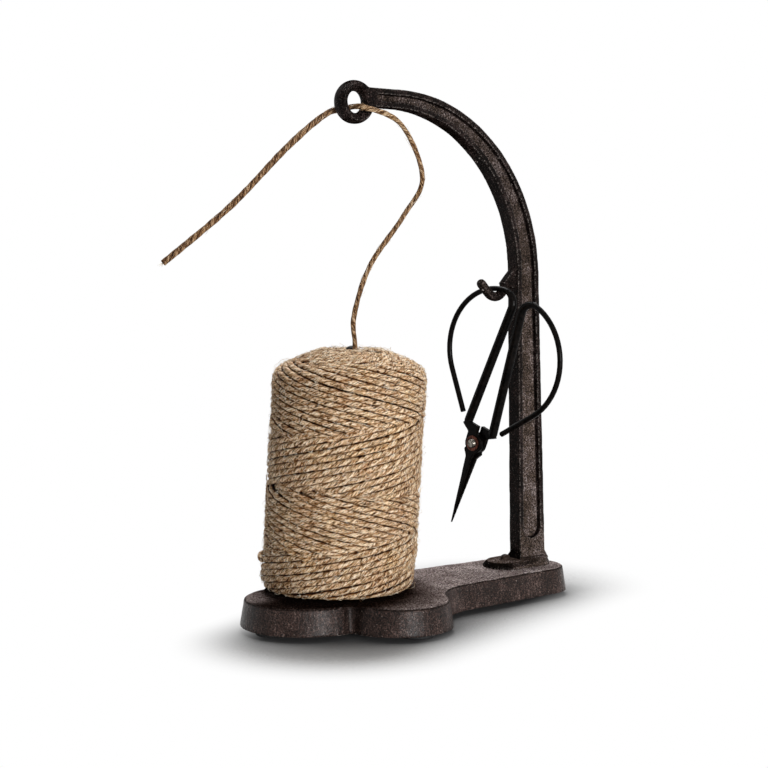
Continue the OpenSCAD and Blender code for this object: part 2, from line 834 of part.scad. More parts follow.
// Blade of the right-hand half, with shoulders below the boss. Its back is ground
// away towards the point
module blade() {
    shoulder_y = neck_draw / 2 - boss_r;
    heel_y = shoulder_y - shoulder_drop;
    half_w = blade_w / 2;
    grind_a = atan((blade_t - tip_t) / (blade_l + shoulder_y));
    difference() {
        translate([0, 0, -boss_high])
            linear_extrude(blade_t)
                polygon([
                    [-half_w, 0], [-half_w, shoulder_y], [1 - half_w, heel_y], [-tip_w / 2, -blade_l],
                    [tip_w / 2, -blade_l], [half_w, heel_y], [boss_r - neck_draw, shoulder_y], [half_w, 0]
                ]);
        translate([-blade_w, shoulder_y, -boss_high])
            rotate([-grind_a, 0, 0])
                translate([0, -2 * blade_l, -blade_t])
                    cube([2 * blade_w, 2 * blade_l, blade_t]);
    }
}

module scissors_right() {
    color(black)
        at_hook()
            scissor_half(rivet_d + 2 * rivet_clear);
}

module scissors_left() {
    color(black)
        at_hook()
            rotate([0, 180, 0])
                scissor_half(rivet_d + 2 * rivet_clear);
}

module scissors_rivet() {
    seat = boss_high + rivet_washer_t;
    color(steel)
        at_hook()
            for (side = [0, 180])
                rotate([0, side, 0]) {
                    cylinder(d = rivet_d, h = seat + slack);
                    translate([0, 0, seat])
                        cylinder(d1 = rivet_head_d, d2 = rivet_head_d - 1.2, h = rivet_head_h);
                }
}

module rivet_washer(side) {
    color(steel)
        at_hook()
            rotate([0, side, 0])
                translate([0, 0, boss_high])
                    difference() {
                        cylinder(d = rivet_washer_d, h = rivet_washer_t);
                        translate([0, 0, -1])
                            cylinder(d = rivet_d + 2 * rivet_clear, h = rivet_washer_t + 2);
                    }
}

module rivet_washer_front() {
    rivet_washer(0);
}

module rivet_washer_back() {
    rivet_washer(180);
}

base();
foot_nose();
foot_front();
foot_rear();
foot_tongue();
arm();
plate_screw();
plate_washer();
plate_nut();
post_screw();
post_washer();
spindle();
spindle_screw();
spindle_washer();
twine_package();
twine_winding();
string();
scissors_left();
scissors_right();
scissors_rivet();
rivet_washer_front();
rivet_washer_back();
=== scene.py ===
import math
import random

import bmesh
import bpy
import numpy as np
from mathutils import Matrix, Vector, noise


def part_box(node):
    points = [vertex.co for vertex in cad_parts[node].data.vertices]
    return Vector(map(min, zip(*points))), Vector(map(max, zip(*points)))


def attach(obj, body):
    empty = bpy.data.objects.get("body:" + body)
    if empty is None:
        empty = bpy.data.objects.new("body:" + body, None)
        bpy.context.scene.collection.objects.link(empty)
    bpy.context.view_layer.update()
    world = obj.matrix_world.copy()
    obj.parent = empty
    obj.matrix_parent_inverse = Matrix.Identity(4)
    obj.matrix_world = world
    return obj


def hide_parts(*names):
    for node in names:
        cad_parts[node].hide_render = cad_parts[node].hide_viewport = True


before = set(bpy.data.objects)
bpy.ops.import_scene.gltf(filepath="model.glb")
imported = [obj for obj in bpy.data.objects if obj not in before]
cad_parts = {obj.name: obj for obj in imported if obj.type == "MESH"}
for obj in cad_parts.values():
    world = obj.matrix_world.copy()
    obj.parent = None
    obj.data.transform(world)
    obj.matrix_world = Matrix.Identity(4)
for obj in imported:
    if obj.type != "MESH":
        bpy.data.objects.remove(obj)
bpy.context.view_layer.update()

MM = 0.001
scene = bpy.context.scene
scene.view_settings.view_transform = "Standard"


def linear(code):
    """An sRGB hex colour as linear RGBA."""
    parts = [int(code[k:k + 2], 16) / 255 for k in (1, 3, 5)]
    return [c / 12.92 if c <= 0.04045 else ((c + 0.055) / 1.055) ** 2.4 for c in parts] + [1.0]


def per_mm(size):
    """Noise scale whose grains are about this many millimetres across."""
    return 1 / (size * MM)


def feed(tree, node, inputs):
    """Fills a node's inputs, each with a value or with a link from a socket."""
    for socket, value in inputs.items():
        if isinstance(value, bpy.types.NodeSocket):
            tree.links.new(value, node.inputs[socket])
        else:
            node.inputs[socket].default_value = value


def add(tree, kind, inputs=None, stops=None, **settings):
    """Adds a node with its settings and inputs, and for a colour ramp its stops."""
    made = tree.nodes.new(kind)
    for name, value in settings.items():
        setattr(made, name, value)
    feed(tree, made, inputs or {})
    if stops:
        ramp = made.color_ramp.elements
        while len(ramp) < len(stops):
            ramp.new(0.5)
        for element, (place, code) in zip(ramp, stops):
            element.position = place
            element.color = linear(code)
    return made


def new_material(name):
    """A new material, its node tree and its shader."""
    made = bpy.data.materials.new(name)
    made.use_nodes = True
    tree = made.node_tree
    return made, tree, tree.nodes["Principled BSDF"]


def put(name, data):
    """A new object in the scene, at the origin."""
    made = bpy.data.objects.new(name, data)
    scene.collection.objects.link(made)
    return made


def smooth_path(knots, steps):
    """Points on a smooth path through the knots."""
    p = [np.array(k, float) for k in knots]
    path = []
    for i in range(len(p) - 1):
        a, b, c, d = p[max(i - 1, 0)], p[i], p[i + 1], p[min(i + 2, len(p) - 1)]
        for k in range(steps):
            t = k / steps
            path.append(b + t / 2 * (c - a + t * (2 * a - 5 * b + 4 * c - d + t * (3 * b - a - 3 * c + d))))
    return np.array(path + [p[-1]])


def path_run(path):
    """Length along a path at each of its points."""
    return np.concatenate([[0], np.cumsum(np.linalg.norm(np.diff(path, axis=0), axis=1))])


# Camera, fitted to the photograph. Bearing and dip in degrees, lens and sensor in millimetres
CAMERA_AT = (-0.4729, -0.5628, 0.1533)
CAMERA_BEARING = 50.919
CAMERA_DIP = 4.012
CAMERA_LENS = 77.97
CAMERA_SENSOR = 36
CAMERA_CLIP = 0.05
camera = put("camera", bpy.data.cameras.new("camera"))
camera.location = CAMERA_AT
camera.rotation_euler = (math.radians(90 - CAMERA_DIP), 0, math.radians(CAMERA_BEARING - 90))
camera.data.sensor_width = CAMERA_SENSOR
camera.data.lens = CAMERA_LENS
camera.data.clip_start = CAMERA_CLIP
scene.camera = camera
bearing = math.radians(CAMERA_BEARING)
to_right = Vector((math.sin(bearing), -math.cos(bearing), 0))
to_camera = Vector((-math.cos(bearing), -math.sin(bearing), 0))

spindle_low, spindle_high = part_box("spindle")
SPINDLE = (spindle_low + spindle_high) / 2
BASE_TOP = spindle_low.z


# Jute twine: plant fibre, three plies laid up with a right-hand twist. Dull, with pale fibres that
# run along the twine, and painted shade in the furrows between plies and the crevices between one turn
# and the next. A real fibre is thinner than 0.1 mm, too fine to show, so the fibres are drawn as coarse
# as small bundles of them. Sizes in millimetres, and how the fibres are drawn out along the twine
FIBRE_WIDTH = 0.48
FIBRE_DRAWN = (0.28, 1, 1)
FIBRE_RELIEF = 0.5
BLEACH_SIZE = 9


def jute_material(name, tone, furrow):
    """Twine with the tone's colours on its fibres, and a colour that paints shade into the furrows between
    plies; painted shade also darkens its crevices.
    """
    made, tree, skin = new_material(name)
    lay, groove, painted_shade = (
        add(tree, "ShaderNodeAttribute", attribute_name=mark) for mark in ("lay", "groove", "painted_shade"))
    place = add(tree, "ShaderNodeTexCoord")
    along = add(tree, "ShaderNodeMapping", {"Vector": lay.outputs["Vector"], "Scale": FIBRE_DRAWN})
    fibres = add(tree, "ShaderNodeTexNoise", {
        "Vector": along.outputs[0], "Scale": per_mm(FIBRE_WIDTH), "Detail": 4.0, "Roughness": 0.7})
    bleach = add(tree, "ShaderNodeTexNoise", {
        "Vector": place.outputs["Object"], "Scale": per_mm(BLEACH_SIZE), "Detail": 2.0, "Roughness": 0.5})
    colour = add(tree, "ShaderNodeValToRGB", {"Fac": fibres.outputs["Fac"]}, stops=tone).outputs["Color"]
    # The groove ramp paints shade into the furrows between plies, and the next ramp paints shade into the
    # crevices between turns
    for value, stops in (
            (bleach, [(0.32, "#eddbc6"), (0.5, "#fff8ec"), (0.68, "#fff2da")]),
            (groove, [(0.0, furrow), (0.6, "#f4eee7"), (1.0, "#ffffff")]),
            (painted_shade, [(0.58, "#2e1c0e"), (0.7, "#94704d"), (0.81, "#ffffff")])):
        layer = add(tree, "ShaderNodeValToRGB", {"Fac": value.outputs["Fac"]}, stops=stops)
        colour = add(tree, "ShaderNodeMix", {"Factor": 1.0, 6: colour, 7: layer.outputs["Color"]},
                     data_type="RGBA", blend_type="MULTIPLY").outputs[2]
    relief = add(tree, "ShaderNodeBump", {
        "Strength": 1.0, "Distance": FIBRE_RELIEF * MM, "Height": fibres.outputs["Fac"]})
    feed(tree, skin, {
        "Base Color": colour, "Normal": relief.outputs["Normal"], "Roughness": 0.6,
        "Specular IOR Level": 0.12})
    return made


jute = jute_material("jute_twine", [
    (0.43, "#341e0e"), (0.47, "#b0865d"), (0.515, "#fcdcb4"), (0.555, "#fffaf0")], "#b0926f")
jute_drawn = jute_material("jute_drawn_string", [
    (0.4, "#2b1a0d"), (0.47, "#846648"), (0.54, "#c2a584"), (0.62, "#f7e8d2")], "#6a5038")
# The inner turns carry no marks of plies, and are coloured dark all over as painted shade, for where they
# show in the gaps between the bands
inner_turns_shade = jute_material("jute_inner_turns", [
    (0.3, "#3a2617"), (0.5, "#5a3f28"), (0.7, "#775838")], "#ffffff")


# Three plies seen end on, as one closed outline: its reach from one furrow to the next
PLIES = 3
PLY_REACH = [0.92, 0.98, 1.0, 0.98]
TWINE_REACH = PLIES * PLY_REACH
TWINE_SIDES = len(TWINE_REACH)
# Share by which the twine's thickness varies, from lump to lump
UNEVEN = 0.17


def add_line(curve, points):
    """Adds an open line through the points to a curve."""
    line = curve.splines.new("POLY")
    line.points.add(len(points) - 1)
    line.points.foreach_set("co", np.c_[points, np.ones(len(points))].ravel())
    return line


def as_mesh(name, piece):
    """The mesh that a curve makes. The curve's own object goes."""
    depsgraph = bpy.context.evaluated_depsgraph_get()
    mesh = bpy.data.meshes.new_from_object(piece.evaluated_get(depsgraph))
    bpy.data.objects.remove(piece)
    mesh.name = name
    mesh.materials.clear()
    return mesh


def closed(name, mesh):
    """Closes the ends of a mesh and makes it a smooth piece at the origin."""
    bm = bmesh.new()
    bm.from_mesh(mesh)
    bmesh.ops.holes_fill(bm, edges=[e for e in bm.edges if e.is_boundary], sides=0)
    bmesh.ops.recalc_face_normals(bm, faces=bm.faces)
    for face in bm.faces:
        face.smooth = True
    bm.to_mesh(mesh)
    bm.free()
    return put(name, mesh)


def twine(name, runs, radius, lay, seed):
    """One piece of laid twine, whose plies go once round in the length of its lay.

    Each run has its points, the twine's scale at each, and the way out from the spool.
    """
    turn = [math.tau * k / TWINE_SIDES for k in range(TWINE_SIDES)]
    outline = bpy.data.curves.new(name + "_outline", "CURVE")
    ring = add_line(outline, [
        (radius * r * math.cos(a), radius * r * math.sin(a), 0) for r, a in zip(TWINE_REACH, turn)])
    ring.use_cyclic_u = True
    line = bpy.data.curves.new(name + "_line", "CURVE")
    line.dimensions = "3D"
    line.twist_mode = "MINIMUM"
    line.bevel_mode = "OBJECT"
    outline_piece, line_piece = put(name + "_outline", outline), put(name + "_line", line)
    line.bevel_object = outline_piece
    rng = random.Random(seed)
    marks, depths = [], []
    furrow = min(TWINE_REACH)
    for points, scale, out in runs:
        run = path_run(points)
        spline = add_line(line, points)
        start = rng.uniform(0, math.tau)
        spline.points.foreach_set("tilt", start - math.tau * run / lay)
        spline.points.foreach_set("radius", scale)
        shift = rng.uniform(0, 10)
        for length in run:
            twisted = start - math.tau * length / lay
            for r, a in zip(TWINE_REACH, turn):
                marks.append((
                    length + shift, radius * math.cos(a + twisted), radius * math.sin(a + twisted)))
                depths.append((r - furrow) / (1 - furrow))
    mesh = as_mesh(name, line_piece)
    bpy.data.objects.remove(outline_piece)
    # How far out on its turn each point of the twine lies: 1 is outermost, 0 is next to the spool. It sets
    # the painted shade in the crevices between turns
    verts = np.empty(3 * len(mesh.vertices))
    mesh.vertices.foreach_get("co", verts)
    middles, ways = (
        np.repeat(np.concatenate([run[k] for run in runs]), TWINE_SIDES, axis=0) for k in (0, 2))
    outward = 1 + 0.5 * (np.sum((verts.reshape(-1, 3) - middles) * ways, axis=1) / radius
                         - np.linalg.norm(ways, axis=1))
    for mark, kind, field, values in (
            ("lay", "FLOAT_VECTOR", "vector", marks),
            ("groove", "FLOAT", "value", depths),
            ("painted_shade", "FLOAT", "value", outward)):
        mesh.attributes.new(mark, kind, "POINT").data.foreach_set(field, np.array(values, "f").ravel())
    return closed(name, mesh)


def finish_piece(piece, material, body):
    """Gives a new piece its material and its body."""
    piece.data.materials.append(material)
    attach(piece, body)


# The free string, from the middle of the spool up through the eye. It is drawn thin below the eye.
# Its route is in millimetres, from the foot of the spindle
TWINE_R = 1.25 * MM
STRING_LAY = 15 * MM
STRING_LUMP = 6 * MM
STRING_STEPS = 26
STRING_SEED = 5
SPOOL_H = 104
SPINDLE_R, BORE_R = 3.5, 6.72
EYE_X, EYE_Z = 1.4, 209.7
string_in = (SPINDLE_R + BORE_R) / 2 * np.array([-0.39, -0.92])
string_knots = [
    (*string_in, SPOOL_H - 16), (*string_in, SPOOL_H + 2), (-3, -5.4, SPOOL_H + 15),
    (3, -8.6, SPOOL_H + 36), (16, -15, EYE_Z - 48.7), (23.4, -19, EYE_Z - 32),
    (16.2, -13.6, EYE_Z - 9.7), (EYE_X + 1.7, -4.8, EYE_Z - 2.5), (EYE_X - 2, 4.8, EYE_Z - 2.7),
    (-7.6, 9.2, EYE_Z - 5.4), (-20.6, 18.6, EYE_Z - 19.2), (-40, 33.2, EYE_Z - 44.3),
    (-62.2, 51.8, EYE_Z - 68.4)]
string_path = smooth_path(string_knots, STRING_STEPS) * MM + np.array([SPINDLE.x, 0, BASE_TOP])
string_share = np.linspace(0, 1, len(string_path))
string_scale = np.interp(string_share, [0, 0.5, 0.66, 1], [0.9, 0.86, 1.12, 1.16])
string_scale *= [1 + UNEVEN * noise.noise(Vector(p) / STRING_LUMP) for p in string_path]
string_run = (string_path, string_scale, np.zeros_like(string_path))
string = twine("string_cord", [string_run], TWINE_R, STRING_LAY, STRING_SEED)
# The string is darkened along its length as painted shade, least just below the eye
string_shade = np.interp(
    string_share, [0, 0.4, 0.5, 0.57, 0.64, 1], [0.765, 0.77, 0.81, 0.81, 0.76, 0.755])
string.data.attributes["painted_shade"].data.foreach_set("value", np.repeat(string_shade, TWINE_SIDES).astype("f"))
finish_piece(string, jute_drawn, "stand")
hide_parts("string")


# Spool: cross-wound bands. In each band the turns run one way and dive under the turns of the next
# band at both ends. The spool leans, because its foot sits off the spindle: millimetres off it, by height
SPOOL_Z = 0.9
SPOOL_LEAN = 5.6
SPOOL_OFFSET = 0.6
LEAN_DIR = np.array([-0.78, 0.63])
LEAN_AT = [0, 11, 16, 44, 68, 75, SPOOL_H]
LEAN_BY = [6.4, 6.2, 5.2, 3.8, 2.6, 1.7, SPOOL_OFFSET]
# Radius and height of the middle line of the outer turns, from the foot up the side and in to the bore
spool_side = smooth_path([
    (27.4, 1.5), (30.4, 2.3), (31.7, 5), (31.9, 12), (31.9, 48), (31.9, 82), (32, 89.6),
    (31.2, 93.4), (28.6, 96.2), (22, 99.2), (15.4, 101.8), (11.6, 102.6), (8.8, 101.4)], 10)
side_run = path_run(spool_side)
side_slope = np.gradient(spool_side, side_run, axis=0)


def spool_point(angle, run, lift):
    """Point above the spool's side: angle round it, length along its side, height off it, in mm."""
    r, h = (np.interp(run, side_run, spool_side[:, k]) for k in (0, 1))
    dr, dh = (np.interp(run, side_run, side_slope[:, k]) for k in (0, 1))
    r, h = r + lift * dh, h - lift * dr
    lean = np.interp(h, LEAN_AT, LEAN_BY)
    return np.stack([
        SPINDLE.x + (lean * LEAN_DIR[0] + r * np.cos(angle)) * MM,
        (lean * LEAN_DIR[1] + r * np.sin(angle)) * MM,
        BASE_TOP + (SPOOL_Z + h) * MM], axis=-1)


def rounded_step(x):
    """Rises smoothly from 0 to 1."""
    x = np.clip(x, 0, 1)
    return x * x * (3 - 2 * x)


# Turns of twine. Lengths in millimetres: the gap from turn to turn, the depth and the length of a dive
# with the share of it before the band's edge, and the step from point to point
FRONT = math.atan2(to_camera.y, to_camera.x)
TURN_R = 1.42 * MM
TURN_LAY = 21 * MM
TURN_LUMP = 2.6 * MM
TURN_GAP = 2.7
DIVE = 3.0
DIVE_RUN = 7.0
DIVE_LEAD = 0.36
DIVE_DONE = 0.97
STEP = 0.95
FEWEST_POINTS = 8
# How far turns wander along the side and off it
WANDER = 0.3
LIFT = 0.35
# How far a turn may pass the band's edge: the mean, and the part that varies round the spool
STRAY_MEAN, STRAY_VARIES = 1.7, 1.3


def band_edge(middle, wave, lag):
    """Where two bands meet: length along the side, as a wave round the spool."""
    return lambda angle: (
        middle + wave * np.sin(angle - FRONT - lag) + 0.25 * wave * np.sin(3 * (angle - lag)))


# Edges of the bands, from the foot to the bore: middle and wave in millimetres, lag in radians
edges = [band_edge(*row) for row in (
    (-9, 0, 0), (22.5, 4.5, 0.2), (45.5, 1.6, 3.4), (71.5, 3.6, 0.2), (104.5, 1.5, 1.0), (114.5, 1.0, 2.0),
    (133, 0, 0))]
# One band each: which way its turns climb, degrees of climb, and the radius that sets their count
bands = [(1, 9.5, 32), (-1, 16, 32), (1, 11, 32), (-1, 16, 31.5), (1, 11, 24), (-1, 12, 15)]


def band_runs(low, high, way, climb, radius, rng):
    """Middle lines of the turns of one band, from where they come up to where they dive."""
    count = round(math.tau * radius * math.sin(math.radians(climb)) / TURN_GAP)
    rise = math.tan(math.radians(climb))
    runs = []
    round_it = np.linspace(0, math.tau, 60)
    lowest, highest = low(round_it).min() - DIVE_RUN, high(round_it).max() + DIVE_RUN
    middle, half = (lowest + highest) / 2, (highest - lowest) / 2
    for k in range(count):
        start = math.tau * (k + rng.uniform(-0.025, 0.025)) / count
        stray = rng.uniform(-1, 1)
        across = np.arange(-half / rise, half / rise, STEP)
        angle = start + way * across / radius
        wander = np.array([noise.noise((0.7 * a, 3.1 * k, 7 * way + low(0))) for a in angle])
        lift = np.array([noise.noise((1.3 * a, 5.7 * k + 50, 3 * way + low(0))) for a in angle])
        run = middle + across * rise + WANDER * wander
        late = stray * (STRAY_MEAN - STRAY_VARIES * np.sin(angle - FRONT))
        depth = (rounded_step((low(angle) + late - run) / DIVE_RUN + DIVE_LEAD)
                 + rounded_step((run - high(angle) - late) / DIVE_RUN + DIVE_LEAD))
        keep = (depth < DIVE_DONE) & (run > 0) & (run < side_run[-1])
        if keep.sum() < FEWEST_POINTS:
            continue
        first, last = np.flatnonzero(keep)[[0, -1]]
        shown = slice(first, last + 1)
        height = LIFT * lift[shown] - DIVE * depth[shown]
        points = spool_point(angle[shown], run[shown], height)
        out = (spool_point(angle[shown], run[shown], height + 1) - points) / MM
        uneven = [1 + UNEVEN * noise.noise(Vector(p) / TURN_LUMP) for p in points]
        runs.append((points, rng.uniform(0.975, 1.015) * np.array(uneven), out))
    return runs


SPOOL_SEED = 41
BAND_SEED = 100
rng = random.Random(SPOOL_SEED)
for number, (way, climb, radius) in enumerate(bands):
    runs = band_runs(edges[number], edges[number + 1], way, climb, radius, rng)
    turns = twine("twine_band_%d" % (number + 1), runs, TURN_R, TURN_LAY, BAND_SEED + number)
    finish_piece(turns, jute, "spool")
    if number == 0:
        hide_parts("twine_winding")

# A loose loop of twine low on the spool's side: its angle, its place along the side, its height off it
LOOP_POINTS = 15
LOOP_SCALE = 0.85
LOOP_SEED = 90
bend = np.linspace(0, 1, LOOP_POINTS)
loop = spool_point(
    FRONT - 1.46 + 0.09 * np.sin(math.tau * bend), 15.6 + 3 * (bend - 0.5),
    0.8 + 1.6 * np.sin(math.pi * bend))
loop_run = (loop, np.full(LOOP_POINTS, LOOP_SCALE), np.zeros_like(loop))
loose = twine("loose_loop", [loop_run], TURN_R, TURN_LAY, LOOP_SEED)
finish_piece(loose, jute, "spool")

# Inner turns, coloured dark as painted shade where they show in the gaps between the bands: radius and
# height, from the bore out and back
CORE_STEPS = 96
CORE_BORE = 8 * MM
MERGED = 1e-6
core_side = [
    (7.2, 1.0), (26.0, 1.0), (29.0, 5.0), (29.6, 40), (29.8, 89), (27.5, 94.4), (20, 98.4), (7.2, 100.6)]
bm = bmesh.new()
corners = [bm.verts.new((r * MM, 0, h * MM)) for r, h in core_side]
profile = [bm.edges.new(pair) for pair in zip(corners, corners[1:] + corners[:1])]
bmesh.ops.spin(bm, geom=corners + profile, cent=(0, 0, 0), axis=(0, 0, 1), dvec=(0, 0, 0),
               angle=math.tau, steps=CORE_STEPS, use_merge=True, use_duplicate=False)
bmesh.ops.remove_doubles(bm, verts=bm.verts, dist=MERGED)
bmesh.ops.recalc_face_normals(bm, faces=bm.faces)
leaning = Matrix.Identity(4)
for k in (0, 1):
    leaning[k][2] = -SPOOL_LEAN / SPOOL_H * LEAN_DIR[k]
    leaning[k][3] = (SPOOL_OFFSET + SPOOL_LEAN) * LEAN_DIR[k] * MM
outer = [v for v in bm.verts if math.hypot(v.co.x, v.co.y) >= CORE_BORE]
bmesh.ops.transform(bm, matrix=leaning, verts=outer)
bmesh.ops.translate(bm, vec=(SPINDLE.x, 0, BASE_TOP + SPOOL_Z * MM), verts=bm.verts)
core_mesh = bpy.data.meshes.new("twine_core")
bm.to_mesh(core_mesh)
bm.free()
core = closed("twine_core", core_mesh)
finish_piece(core, inner_turns_shade, "spool")
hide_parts("twine_package")


# Loose jute fibres that stand off the twine: dry and dull, some bleached pale and some still brown
stray, tree, skin = new_material("jute_stray_fibre")
place = add(tree, "ShaderNodeTexCoord")
mottle = add(tree, "ShaderNodeTexNoise", {
    "Vector": place.outputs["Object"], "Scale": per_mm(3), "Detail": 1.0})
tone = add(tree, "ShaderNodeValToRGB", {"Fac": mottle.outputs["Fac"]}, stops=[
    (0.32, "#6b4d30"), (0.46, "#c9ad86"), (0.6, "#fff3de")])
feed(tree, skin, {"Base Color": tone.outputs["Color"], "Roughness": 0.7, "Specular IOR Level": 0.3})

# Share of a fibre's thickness that is left at its tip, and the part of the spool's side that has fibres
FIBRE_TIP = 0.45
HAIRY_RUN = (2, 122)
NAP_COUNT, NAP_THICK = 4200, 0.22 * MM
SPOOL_FIBRE_COUNT, SPOOL_FIBRE_THICK = 260, 0.13 * MM
STRING_FIBRE_COUNT, STRING_FIBRE_THICK = 46, 0.14 * MM
END_FIBRE_COUNT = 14


def fibres(name, lines, thickness):
    """One piece of thin fibres along the lines."""
    curve = bpy.data.curves.new(name, "CURVE")
    curve.dimensions = "3D"
    curve.bevel_depth = thickness / 2
    curve.bevel_resolution = 0
    for points in lines:
        add_line(curve, points).points.foreach_set("radius", np.linspace(1, FIBRE_TIP, len(points)))
    return closed(name, as_mesh(name, put(name, curve)))


def spool_hair(length, height, low, points):
    """A fibre that lies on the spool and lifts off it in the middle."""
    angle = rng.uniform(0, math.tau)
    run = rng.uniform(*HAIRY_RUN)
    t = np.linspace(0, 1, points)
    heading = rng.uniform(-0.8, 0.8) + rng.choice((0, math.pi)) + rng.uniform(-0.9, 0.9) * t
    radius = float(np.interp(run, side_run, spool_side[:, 0]))
    return spool_point(
        angle + length * t * np.cos(heading) / radius, run + length * t * np.sin(heading),
        low + height * np.sin(math.pi * (0.1 + 0.8 * t)) ** 2)


def any_way():
    """A random vector, up to 1 each way."""
    return Vector((rng.uniform(-1, 1), rng.uniform(-1, 1), rng.uniform(-1, 1)))


lines = [spool_hair(rng.uniform(1.2, 3.6), rng.uniform(0.1, 0.6), 1.2, 3) for k in range(NAP_COUNT)]
nap = fibres("spool_nap", lines, NAP_THICK)
finish_piece(nap, stray, "spool")

# Longer fibres, and one curl of two fibres high on the spool's side
lines = [spool_hair(rng.uniform(4, 11), rng.uniform(0.5, 2.2), 1.0, 5) for k in range(SPOOL_FIBRE_COUNT)]
curl = spool_point(
    FRONT - 0.39 + np.array([0, 0.03, 0.05, 0.035, -0.02]), np.array([91, 88.5, 86, 83, 80]),
    np.array([1.5, 2.0, 2.1, 2.0, 1.5]))
lines += [curl, curl + 0.2 * MM * to_right]
hairs = fibres("spool_fibres", lines, SPOOL_FIBRE_THICK)
finish_piece(hairs, stray, "spool")

# Fibres on the string, clear of the spool's bore and of the cut end, and the frayed end itself
lines = []
for k in range(STRING_FIBRE_COUNT):
    at = rng.randrange(60, len(string_path) - 12)
    root = Vector(string_path[at])
    along = Vector(string_path[at + 6] - string_path[at]).normalized()
    out = along.cross(any_way()).normalized()
    reach = rng.uniform(1.5, 4.5) * MM
    off = rng.uniform(0.2, 1.1) * MM
    lines.append(np.array([
        root + out * TWINE_R * 0.8,
        root + along * reach * 0.4 + out * (TWINE_R + 0.4 * off),
        root + along * reach * 0.75 + out * (TWINE_R + 0.85 * off),
        root + along * reach + out * (TWINE_R + off)]))
end = Vector(string_path[-1])
onward = (end - Vector(string_path[-8])).normalized()
for k in range(END_FIBRE_COUNT):
    spread = any_way()
    reach = rng.uniform(0.5, 1.6) * MM
    lines.append(np.array([
        end + (0.8 * spread * TWINE_R) * t ** 0.5 + (onward + 0.3 * spread * t) * reach * t
        for t in (0, 0.35, 0.7, 1)]))
hairs = fibres("string_fibres", lines, STRING_FIBRE_THICK)
finish_piece(hairs, stray, "stand")


def patchy(tree, patches):
    """How strongly a finish lies from place to place: the most that any of its patches gives.

    A patch has its level, then each value that bounds it, with where it is gone and where it is full.
    """
    most = 0.0
    for level, *bounds in patches:
        for value, gone, full in bounds:
            fade = add(tree, "ShaderNodeMapRange", {"Value": value, "From Min": gone, "From Max": full},
                       interpolation_type="SMOOTHSTEP")
            level = add(tree, "ShaderNodeMath", {0: fade.outputs[0], 1: level},
                        operation="MULTIPLY").outputs[0]
        most = add(tree, "ShaderNodeMath", {0: level, 1: most}, operation="MAXIMUM").outputs[0]
    return most


# Middle of the painted shadow of the spool on the top of the base, where no dust is painted either; of the
# end of the nose, with its thinner dust and painted light; and of the hook
SPOOL_SHADOW_AT = Vector((SPINDLE.x - 15 * MM, 9 * MM, BASE_TOP))
NOSE_AT = Vector((-88 * MM, 22 * MM, BASE_TOP))
HOOK_AT = Vector((SPINDLE.x + 86.5 * MM, 0, BASE_TOP + 135 * MM))
# Full strength of the darkening on the base, and of the painted shade on the toe of the foot plate
BASE_DARKENING, TOE_SHADE = 0.66, 0.9
HOLLOW_REACH = 14 * MM


def base_dust_light_shade(tree, place, facing):
    """Dust and painted light, and darkening, on the base.

    Dust lies on the top, clear of the spool, and more thinly on the end of the nose; on the top it also
    stands for painted light. The rounded top edge is darkened, a painted shadow of the spool lies on the
    top round it, and painted shade lies in hollows.
    """
    up = facing.outputs["Z"]
    from_spool, from_nose = (
        add(tree, "ShaderNodeVectorMath", {0: place, 1: point}, operation="DISTANCE").outputs["Value"]
        for point in (SPOOL_SHADOW_AT, NOSE_AT))
    hollow_shade = add(tree, "ShaderNodeAmbientOcclusion", {"Distance": HOLLOW_REACH}, samples=6, only_local=True)
    # Dust, which on the top also stands for painted light
    dust_and_light = patchy(tree, [
        (1.0, (from_spool, 40 * MM, 64 * MM), (up, 0.7, 0.96)),
        (0.75, (from_nose, 27 * MM, 15 * MM), (up, 0.7, 0.96))])
    # Darkening along the rounded top edge, a painted shadow of the spool on the top, and painted shade in
    # hollows
    darkening = patchy(tree, [
        (BASE_DARKENING, (up, 0.25, 0.45), (up, 0.92, 0.75)),
        (BASE_DARKENING, (from_spool, 50 * MM, 36 * MM), (up, 0.7, 0.9), (from_nose, 15 * MM, 32 * MM)),
        (BASE_DARKENING, (hollow_shade.outputs["AO"], 0.86, 0.62))])
    return dust_and_light, darkening


def arm_dust_light_shade(tree, place, facing):
    """Dust and painted light, and painted shade, on the arm.

    Dust lies in the sunk panels, less of it higher up on the arch and none on the hook, and on the
    flat foot of the post and the foot plate; on the top of the foot plate it also stands for painted light.
    Painted shade lies on the blunt toe of the plate, on the faces that turn the -X way.
    """
    split = add(tree, "ShaderNodeSeparateXYZ", {0: place}).outputs
    off, sideways = (
        add(tree, "ShaderNodeMath", {0: value}, operation="ABSOLUTE").outputs[0]
        for value in (split["Y"], facing.outputs["Y"]))
    from_hook = add(tree, "ShaderNodeVectorMath", {0: place, 1: HOOK_AT}, operation="DISTANCE")
    less_on_arch = add(tree, "ShaderNodeMapRange", {
        "Value": split["Z"], "From Min": 120 * MM, "From Max": 190 * MM, "To Min": 1.0, "To Max": 0.6})
    # Dust; on the top of the foot plate it also stands for painted light
    dust_and_light = patchy(tree, [
        (less_on_arch.outputs["Result"], (off, 2.4 * MM, 1.7 * MM), (sideways, 0.75, 0.95),
         (from_hook.outputs["Value"], 10.5 * MM, 11.6 * MM)),
        (1.0, (split["Z"], 36 * MM, 26 * MM), (sideways, 0.75, 0.95)),
        (1.0, (split["Z"], 24 * MM, 21 * MM), (facing.outputs["Z"], 0.6, 0.95))])
    # Painted shade on the toe of the foot plate, where it faces the -X way
    darkening = patchy(tree, [(TOE_SHADE, (split["Z"], 23 * MM, 20 * MM), (facing.outputs["X"], -0.2, -0.45))])
    return dust_and_light, darkening


